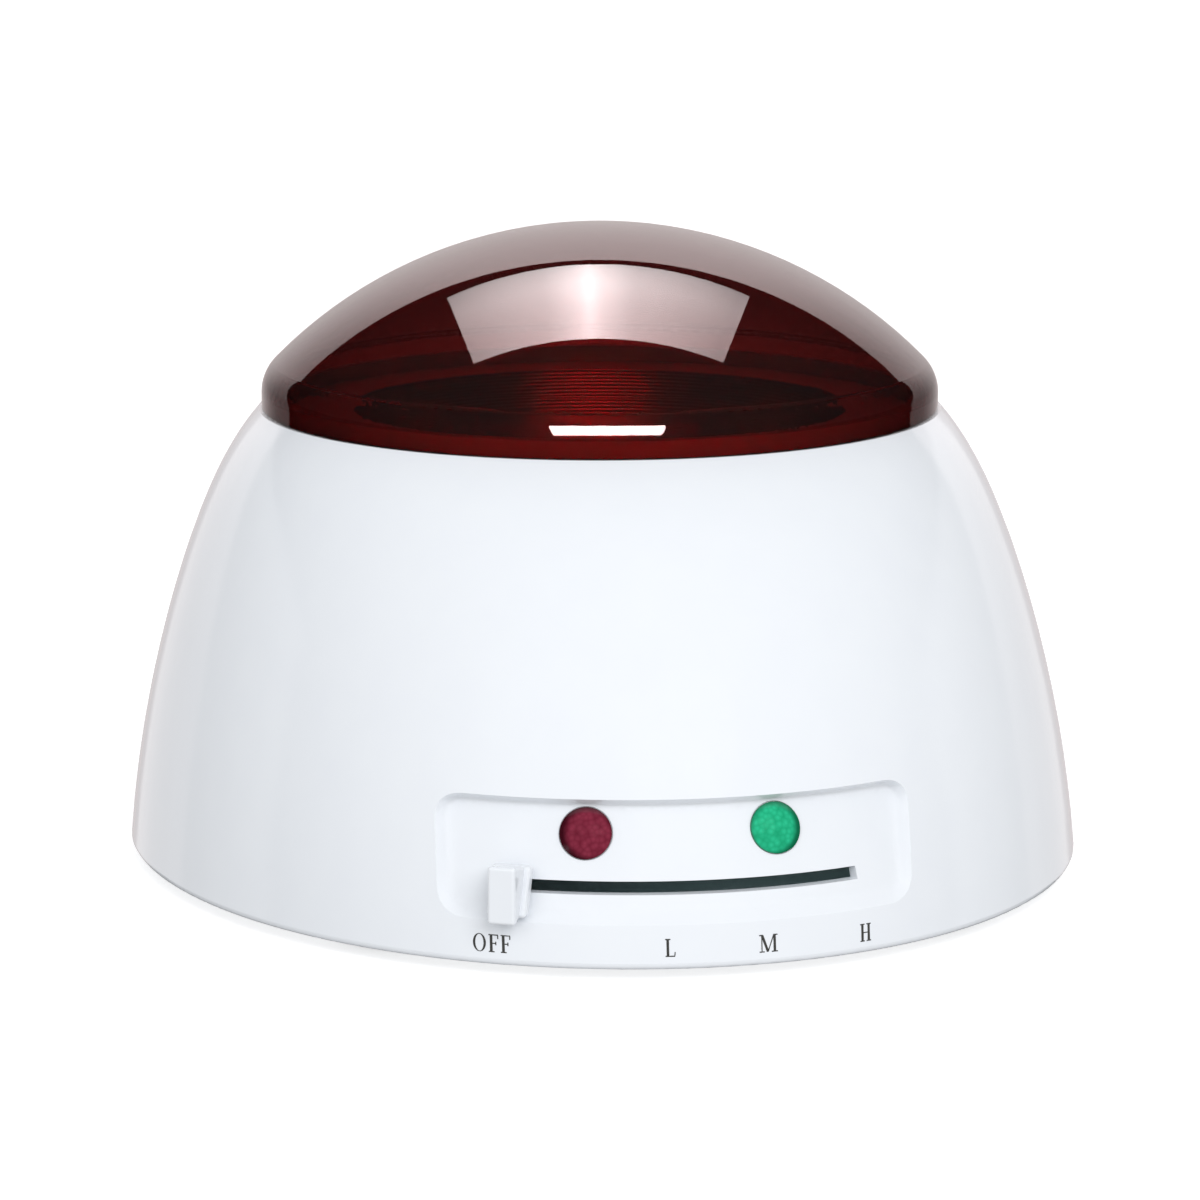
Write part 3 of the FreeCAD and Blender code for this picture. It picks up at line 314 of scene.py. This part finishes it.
# Name, nodes, grain in millimetres, colours, roughness, height in millimetres, share of metal
FINISHES = (
    ("white_silicone", ("pot_gasket",), 2.0, ("#d9d8d3", "#e8e7e2"), (0.5, 0.65), 0.02, 0.0),
    ("black_rubber", FEET, 1.2, ("#1b1b1c", "#2c2c2e"), (0.6, 0.8), 0.03, 0.0),
    ("grey_nylon", ("cord_gland", "gland_nut"), 1.5, ("#b9bcbf", "#c9cccf"), (0.35, 0.5), 0.02, 0.0),
    ("natural_nylon", ("terminal_block",), 1.5, ("#cfc9b8", "#ddd8c8"), (0.4, 0.55), 0.02, 0.0),
    ("steatite", ("thermostat_body",), 0.8, ("#d8d2c2", "#e6e1d4"), (0.7, 0.85), 0.03, 0.0),
    ("zinc_plated_steel", STEEL_PIECES, 3.0, ("#9a9da1", "#c2c5c8"), (0.25, 0.4), 0.01, 1.0),
    ("plain_brass", BRASS_PIECES, 3.0, ("#a8853c", "#cfae62"), (0.25, 0.4), 0.01, 1.0),
    ("brown_silicone", BROWN_WIRES, 1.0, ("#3e2012", "#54301c"), (0.45, 0.6), 0.01, 0.0),
    ("blue_silicone", ("return_wire",), 1.0, ("#16305f", "#244680"), (0.45, 0.6), 0.01, 0.0),
    ("glass_sleeving", LAMP_LEADS, 0.6, ("#c9c3b0", "#e2ddcc"), (0.75, 0.9), 0.08, 0.0),
)
for name, nodes, grain, colours, roughness, bump, metal in FINISHES:
    finish = material(name, {"Metallic": metal})
    mottle(finish, grain * MM, colours, roughness, bump * MM)
    dress(finish, *nodes)

# %% [markdown]
# The two lamps behind the lenses are small neon bulbs of drawn glass. A clear glass shader would do, but
# drawn glass is never quite even, so a fine ripple varies its gloss.

# %% Bulb glass
GLASS_IOR = 1.52
RIPPLE = 2 * MM
RIPPLE_ROUGHNESS = (0.02, 0.08)
bulb = material("bulb_glass", {
    "Base Color": linear("#f4efe6"), "IOR": GLASS_IOR, "Transmission Weight": 1.0})
ripple = add(bulb.tree, "TexNoise", {"Vector": bulb.place, "Scale": 1 / RIPPLE}).outputs["Fac"]
rough = add(bulb.tree, "MapRange", {
    "Value": ripple, "To Min": RIPPLE_ROUGHNESS[0], "To Max": RIPPLE_ROUGHNESS[1]})
bulb.tree.links.new(rough.outputs["Result"], bulb.shader.inputs["Roughness"])
dress(bulb, "bulb_red", "bulb_green")

# %% [markdown]
# ## Printed marks
# The lever's places are pad-printed in thin dark grey letters with serifs. A font could be bent round the
# wall, but the letters need only straight strokes and one ring, so each stroke is a flat bar of ink that
# follows the wall.

# %% Shapes of the letters
CAP_HEIGHT = 3.5 * MM
STEM = 0.145
HAIR = 0.06

# Start, end and thickness of each stroke, in cap heights from the letter's lower left corner
LETTERS = {
    "F": (((0.17, HAIR), (0.17, 1 - HAIR), STEM), ((0.03, 0.975), (0.55, 0.975), HAIR),
          ((0.53, 0.95), (0.53, 0.76), HAIR), ((0.235, 0.5), (0.42, 0.5), HAIR),
          ((0.42, 0.4), (0.42, 0.6), HAIR), ((0.03, 0.025), (0.34, 0.025), HAIR)),
    "L": (((0.17, HAIR), (0.17, 1 - HAIR), STEM), ((0.03, 0.975), (0.33, 0.975), HAIR),
          ((0.03, 0.025), (0.58, 0.025), HAIR), ((0.565, HAIR), (0.585, 0.26), HAIR)),
    "M": (((0.17, HAIR), (0.17, 1 - HAIR), HAIR), ((0.94, HAIR), (0.94, 1 - HAIR), STEM),
          ((0.19, 0.97), (0.53, 0.03), STEM), ((0.53, 0.03), (0.89, 0.97), HAIR),
          ((0.02, 0.03), (0.33, 0.03), HAIR), ((0.76, 0.03), (1.12, 0.03), HAIR),
          ((0.02, 0.97), (0.24, 0.97), HAIR), ((0.86, 0.97), (1.12, 0.97), HAIR)),
    "H": (((0.15, HAIR), (0.15, 1 - HAIR), STEM), ((0.55, HAIR), (0.55, 1 - HAIR), STEM),
          ((0.215, 0.5), (0.485, 0.5), HAIR), ((0.01, 0.025), (0.29, 0.025), HAIR),
          ((0.41, 0.025), (0.69, 0.025), HAIR), ((0.01, 0.975), (0.29, 0.975), HAIR),
          ((0.41, 0.975), (0.69, 0.975), HAIR)),
    "O": (),
}
# Width of each letter with its space, and the ring of the O: its middle and its half axes
ADVANCE = {"F": 0.66, "L": 0.62, "M": 1.14, "H": 0.7, "O": 0.84}
RING_MIDDLE = (0.37, 0.5)
RING_OUTSIDE = (0.35, 0.515)
RING_INSIDE = (0.225, 0.475)
print("letters", ", ".join(LETTERS), "with capitals", CAP_HEIGHT / MM, "mm high")

# %% [markdown]
# A stroke is known by its two edges. Carrying a four-cornered section along them, half proud of the wall and
# half sunk into it, gives a closed bar with no gap behind the ink.

# %% Bars of ink
INK_PROUD = 0.05 * MM
STATIONS = 4
RING_STATIONS = 48
CORNERS = 4


def straight(start, end, thickness):
    """Left and right edge of a straight stroke: the middle line, moved half a thickness to either side."""
    start, end = np.array(start), np.array(end)
    middle = start + (end - start) * np.linspace(0, 1, STATIONS)[:, None]
    along = (end - start) / np.linalg.norm(end - start)
    side = np.array([-along[1], along[0]]) * thickness / 2
    return middle + side, middle - side


def ring():
    """Inner and outer edge of the O: two ellipses about its middle."""
    turn = np.linspace(0, 2 * np.pi, RING_STATIONS, endpoint=False)
    circle = np.stack([np.cos(turn), np.sin(turn)], -1)
    return RING_MIDDLE + circle * RING_INSIDE, RING_MIDDLE + circle * RING_OUTSIDE


def bar(left, right, corner, closed):
    """A stroke's four-cornered section, proud of the wall in front and sunk behind, along the stroke."""
    flat = corner + np.stack([left, right, right, left], 1) * CAP_HEIGHT
    lift = INK_PROUD * np.array([1, 1, -1, -1])
    points = front_wall(flat[..., 0], flat[..., 1], lift)
    rings = np.arange(points.shape[0] * CORNERS).reshape(-1, CORNERS)
    here, ahead = (rings, np.roll(rings, -1, 0)) if closed else (rings[:-1], rings[1:])
    sides = np.stack([here, np.roll(here, -1, 1), np.roll(ahead, -1, 1), ahead], -1).reshape(-1, CORNERS)
    caps = np.zeros((0, CORNERS), int) if closed else np.stack([rings[0][::-1], rings[-1]])
    return points.reshape(-1, 3), np.concatenate([sides, caps])


print("ink", INK_PROUD / MM, "mm proud of the wall")

# %% [markdown]
# A mark is one word under the slot. Its bars become one mesh, whose points are already on the wall, so the
# object itself stays at the origin. The ink is matt, with the fine unevenness of a pad print. All the marks
# ride on the housing, because the lever moves past them.

# %% Marks under the panel
def mesh_object(name, points, faces):
    """A mesh object from points and the corners of its faces."""
    mesh = bpy.data.meshes.new(name)
    mesh.from_pydata(points.reshape(-1, 3).tolist(), [], faces.tolist())
    made = bpy.data.objects.new(name, mesh)
    bpy.context.scene.collection.objects.link(made)
    return made


def mark(name, word, x, z):
    """A word of bars, centred on a place of the front wall."""
    bars = []
    corner = np.array([x, z]) - CAP_HEIGHT * np.array([sum(ADVANCE[c] for c in word), 1.0]) / 2
    for letter in word:
        bars += [bar(*straight(*stroke), corner, False) for stroke in LETTERS[letter]]
        if letter == "O":
            bars.append(bar(*ring(), corner, True))
        corner = corner + np.array([CAP_HEIGHT * ADVANCE[letter], 0.0])
    starts = np.cumsum([0] + [len(points) for points, _ in bars])
    all_faces = np.concatenate([faces + start for start, (_, faces) in zip(starts, bars)])
    return mesh_object(name, np.concatenate([points for points, _ in bars]), all_faces)


ink = material("pad_print_ink", {})
mottle(ink, size=0.3 * MM, colours=("#3a3a38", "#4c4c49"), roughness=(0.45, 0.6), bump=0.0)
# Name, word, and the middle of the word across and up, in millimetres
MARKS = (("mark_off", "OFF", -38.4, 6.9), ("mark_low", "L", -3.7, 7.0), ("mark_medium", "M", 16.5, 6.9),
         ("mark_high", "H", 37.6, 6.7))
for name, word, x, z in MARKS:
    made = mark(name, word, x * MM, z * MM)
    made.data.materials.append(ink.made)
    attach(made, "housing")
    print(name, "with", len(made.data.polygons), "faces")

# %% [markdown]
# ## Studio
# The floor is a plain pale sheet that glows a little, as a sheet lit from below does, so that it stays white
# behind the object. It is kept out of reflections and bounced light, as a photographer would hide it with
# black cards beside the object: without that the lower wall would drown in white.

# %% Floor
FLOOR_HALF = 7.0
FLOOR_POINTS = 3
FLOOR_GLOW = 0.45
PAPER_GLOSS = 0.1


def sheet_object(name, points):
    """A mesh object from a grid of points, with a quad between each four neighbours."""
    rows, columns = points.shape[:2]
    corner = np.arange(rows * columns).reshape(rows, columns)
    quads = np.stack([corner[:-1, :-1], corner[:-1, 1:], corner[1:, 1:], corner[1:, :-1]], -1)
    return mesh_object(name, points, quads.reshape(-1, 4))


line = np.linspace(-FLOOR_HALF, FLOOR_HALF, FLOOR_POINTS)
floor_x, floor_y = np.meshgrid(line, line)
floor = sheet_object("studio_floor", np.stack([floor_x, floor_y, np.zeros_like(floor_x)], -1))
paper = material("white_paper", {
    "Specular IOR Level": PAPER_GLOSS, "Emission Color": linear("#ffffff"), "Emission Strength": FLOOR_GLOW})
mottle(paper, size=4 * MM, colours=("#f2f2f2", "#f8f8f8"), roughness=(0.8, 0.9), bump=0.0)
floor.data.materials.append(paper.made)
floor.visible_diffuse = False
floor.visible_glossy = False
floor.visible_shadow = False
print("floor", 2 * FLOOR_HALF, "m square")

# %% [markdown]
# Behind the sheet, square to the camera's view, stands a white arch that is brightest near its top. The
# upper half of the lid mirrors it as a pale band, and the edges of the housing pick up its dimmer foot. A
# world texture could be mirrored too, but a sheet stands at a real distance, so the band bends with the
# dome. Its points and the lamps are placed in the camera's own plan, from the pot's axis.

# %% Backdrop
CAMERA_AZIMUTH = math.radians(-8.01)
ARCH_HALF = 3.6
ARCH_HEIGHT = 2.7
ARCH_FOOT = -1.0
ARCH_BACK = 3.0
ARCH_POINTS = (41, 9)
# The glow fades over this span to either side, to this share, and rises from foot to top
ARCH_SPAN = (0.6, 2.6)
ARCH_SIDE = 0.45
ARCH_GLOW = (0.66, 2.3)
sine, cosine = math.sin(CAMERA_AZIMUTH), math.cos(CAMERA_AZIMUTH)


def plan(ahead, aside):
    """X and Y from the pot's axis: ahead is away from the camera, and aside is to its right."""
    return aside * cosine - ahead * sine, pot_y + ahead * cosine + aside * sine


across, up = np.meshgrid(np.linspace(-1, 1, ARCH_POINTS[0]), np.linspace(0, 1, ARCH_POINTS[1]))
arch_x, arch_y = plan(ARCH_BACK, ARCH_HALF * across)
arch_z = ARCH_FOOT + (ARCH_HEIGHT * (1 - across ** 2) - ARCH_FOOT) * up
arch = sheet_object("studio_arch", np.stack([arch_x, arch_y, arch_z], -1))
print("arch", 2 * ARCH_HALF, "m wide and", ARCH_HEIGHT, "m high")

# %% [markdown]
# The arch is paper lit by lamps of its own. Real lamps on it would add noise to the picture, so the paper
# itself glows: one ramp makes it fade to both sides, another makes it rise with height, and their product
# is the strength of the glow.

# %% Glow of the backdrop
lit_paper = material("lit_paper", {
    "Base Color": linear("#000000"), "Specular IOR Level": 0.0, "Emission Color": linear("#fff3f2")})
tree = lit_paper.tree
turned = add(tree, "Mapping", {"Vector": lit_paper.place, "Rotation": (0.0, 0.0, -CAMERA_AZIMUTH)})
axes = add(tree, "SeparateXYZ", {"Vector": turned.outputs["Vector"]}).outputs
outward = add(tree, "Math", {0: axes["X"]}, operation="ABSOLUTE").outputs["Value"]
fade = add(tree, "MapRange", {"Value": outward, "From Min": ARCH_SPAN[0], "From Max": ARCH_SPAN[1],
                              "To Min": 1.0, "To Max": ARCH_SIDE}, interpolation_type="SMOOTHSTEP")
rise = add(tree, "MapRange", {"Value": axes["Z"], "From Min": 0.0, "From Max": ARCH_HEIGHT,
                              "To Min": ARCH_GLOW[0], "To Max": ARCH_GLOW[1]})
glow = add(tree, "Math", {0: fade.outputs["Result"], 1: rise.outputs["Result"]}, operation="MULTIPLY")
tree.links.new(glow.outputs["Value"], lit_paper.shader.inputs["Emission Strength"])
arch.data.materials.append(lit_paper.made)
print("arch glows from", ARCH_GLOW[0], "at its foot to", ARCH_GLOW[1], "at its top")

# %% [markdown]
# ## Lights
# A glossy dome and a white wall need different light, and in a real studio flags and snoots keep the two
# apart. Light linking does that here: a lamp can be given a group of pieces, and then it shines on them
# alone. One function makes a soft box, and another makes such a group.

# %% Soft boxes and what they shine on
def soft_box(name, ahead, aside, height, aim, width, length, power):
    """Area light at a place of the camera's plan, turned towards a point (ahead, aside, height)."""
    light = bpy.data.lights.new(name, "AREA")
    light.shape = "RECTANGLE"
    light.size = width
    light.size_y = length
    light.energy = power
    lamp = bpy.data.objects.new(name, light)
    lamp.location = (*plan(ahead, aside), height)
    target = Vector((*plan(*aim[:2]), aim[2]))
    lamp.rotation_euler = (target - lamp.location).to_track_quat("-Z", "Y").to_euler()
    bpy.context.scene.collection.objects.link(lamp)
    print(name, "at", tuple(round(c, 3) for c in lamp.location), "with", power, "W")
    return lamp


def shine_on(group, nodes, lamps):
    """Keeps the light of some lamps on a group of nodes."""
    receivers = bpy.data.collections.new(group)
    for name in nodes:
        receivers.objects.link(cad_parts[name])
    for lamp in lamps:
        lamp.light_linking.receiver_collection = receivers
    print(group, "lit by", ", ".join(lamp.name for lamp in lamps))


# %% [markdown]
# A soft box hangs over the back of the object, and the lid mirrors it as a bright field with a hot line down
# its middle, where the tube is. An evenly bright box would be a flat white patch, so two ramps on the lamp's
# own surface give its brightness: from the tube out to the sides, and from its near end to its far one.

# %% Overhead soft box
# Place and strength of each stop
TUBE_STOPS = ((0.0, 0.88), (0.1, 0.7), (0.3, 0.48), (1.0, 0.24))
LENGTH_STOPS = ((0.0, 0.55), (0.4, 1.0), (1.0, 1.15))
# The tube's place as a share of the box's width, from which its stops count in half widths
TUBE_PLACE = 0.53
HALF_WIDTHS = 2.0
overhead = soft_box("overhead_soft_box", ahead=0.5565, aside=-0.005, height=1.08, aim=(0.34, -0.005, 0.0),
                    width=0.907, length=0.727, power=31)
overhead.data.use_nodes = True
tree = overhead.data.node_tree
surface = add(tree, "NewGeometry", {}).outputs["Parametric"]
box_axes = add(tree, "SeparateXYZ", {"Vector": surface}).outputs
from_tube = add(tree, "Math", {0: box_axes["X"], 1: TUBE_PLACE}, operation="SUBTRACT").outputs["Value"]
to_side = add(tree, "Math", {0: from_tube}, operation="ABSOLUTE").outputs["Value"]
share = add(tree, "Math", {0: to_side, 1: HALF_WIDTHS}, operation="MULTIPLY").outputs["Value"]
levels = []
for place, stops in ((share, TUBE_STOPS), (box_axes["Y"], LENGTH_STOPS)):
    ramp = add(tree, "ValToRGB", {"Fac": place})
    while len(ramp.color_ramp.elements) < len(stops):
        ramp.color_ramp.elements.new(1.0)
    for stop, (where, strength) in zip(ramp.color_ramp.elements, stops):
        stop.position = where
        stop.color = (strength, strength, strength, 1.0)
    levels.append(ramp.outputs["Color"])
level = add(tree, "Math", {0: levels[0], 1: levels[1]}, operation="MULTIPLY").outputs["Value"]
tree.links.new(level, tree.nodes["Emission"].inputs["Strength"])

# %% [markdown]
# A smaller box in front draws the short bright strip low in the lid, and its light falls through the lid as
# the red glow on the pot. Both boxes shine on the lid alone. Bare metal mirrors a lamp far more strongly
# than plastic does, so the pot has a dim lamp of its own, which it sees only when the lid is lifted.

# %% Front strip and the pot's lamp
AIM = (0.0, 0.0, 0.06)
strip = soft_box("front_strip", ahead=-1.0, aside=0.05, height=0.53, aim=(0.0, 0.05, 0.1),
                 width=0.69, length=0.48, power=30)
shine_on("lid_alone", ("lid",), (overhead, strip))
pot_box = soft_box("pot_soft_box", ahead=-0.5, aside=0.0, height=0.9, aim=AIM,
                   width=1.0, length=1.0, power=5)
shine_on("pot_alone", ("heating_pot",), (pot_box,))

# %% [markdown]
# Two broad fills light the housing from the front, the right one stronger. They would show as hard
# squares in the gloss, so they are kept out of reflections. Low white cards on both sides give the edges
# and the lower wall a soft sheen instead.

# %% Fills and cards
FILL_HEIGHT = 1.1
FILL_SIZE = 1.2
CARD_AHEAD = 0.9
CARD_HEIGHT = 0.06
CARD_SIZE = (1.7, 1.1)
# Name, place ahead and aside, power
FILLS = (("fill_left", -1.7, -0.9, 6.9), ("fill_right", -1.8, 0.6, 20.3))
for name, ahead, aside, power in FILLS:
    fill = soft_box(name, ahead, aside, FILL_HEIGHT, AIM, FILL_SIZE, FILL_SIZE, power)
    fill.visible_glossy = False
# Name, place aside, power
CARDS = (("card_left", -1.2, 2.7), ("card_right", 1.2, 2.4))
cards = []
for name, aside, power in CARDS:
    cards.append(soft_box(name, CARD_AHEAD, aside, CARD_HEIGHT, AIM, *CARD_SIZE, power))
shine_on("white_pieces", ("housing_shell", "slider_knob", "base_plate"), cards)

# %% [markdown]
# On the real object a little light gets in through the seams, so its slot is a dark grey and not black. The
# solids have no such seams, and a very faint lamp inside the housing, over the lever, stands for that light.

# %% Light inside the housing
SEAM_GLOW = 0.0031
SEAM_PLACE = (28 * MM, cad_low.y + 40 * MM, 45 * MM)
SEAM_RADIUS = 4 * MM
seam_light = bpy.data.lights.new("seam_light", "POINT")
seam_light.energy = SEAM_GLOW
seam_light.shadow_soft_size = SEAM_RADIUS
seam_light.color = linear("#c6f0ee")[:3]
seam_lamp = bpy.data.objects.new("seam_light", seam_light)
seam_lamp.location = SEAM_PLACE
bpy.context.scene.collection.objects.link(seam_lamp)
print("seam light of", SEAM_GLOW, "W")

# %% [markdown]
# The air of a white room adds the rest of the light, evenly from all round. It is kept out of
# reflections and out of what is seen through the lid, because there the arch and the floor stand for
# the room.

# %% Air of the room
AIR = 0.59
world = bpy.data.worlds.new("studio_air")
bpy.context.scene.world = world
world.use_nodes = True
background = world.node_tree.nodes["Background"].inputs
background["Color"].default_value = linear("#ffffff")
background["Strength"].default_value = AIR
world.cycles_visibility.glossy = False
world.cycles_visibility.transmission = False
print("air of strength", AIR)

# %% [markdown]
# ## Camera
# The camera stands a little to the left of the front and looks down by about eleven degrees, from far enough
# away for nearly straight sides. Its place and lens were found by matching the object's outlines. The
# Standard view keeps white white, where a film-like view would turn it grey.

# %% Camera
CAMERA_PITCH = math.radians(10.67)
CAMERA_PLACE = (-0.1956, -1.3789, 0.3185)
PICTURE = 1200
FOCAL_PIXELS = 6557
SENSOR = 36.0
level_share = math.cos(CAMERA_PITCH)
view = Vector((-sine * level_share, cosine * level_share, -math.sin(CAMERA_PITCH)))
camera_data = bpy.data.cameras.new("photo_camera")
camera_data.sensor_width = SENSOR
camera_data.lens = SENSOR * FOCAL_PIXELS / PICTURE
camera = bpy.data.objects.new("photo_camera", camera_data)
camera.location = CAMERA_PLACE
camera.rotation_euler = view.to_track_quat("-Z", "Y").to_euler()
bpy.context.scene.collection.objects.link(camera)
bpy.context.scene.camera = camera
bpy.context.scene.view_settings.view_transform = "Standard"
print("camera with a lens of", round(camera_data.lens, 1), "mm")
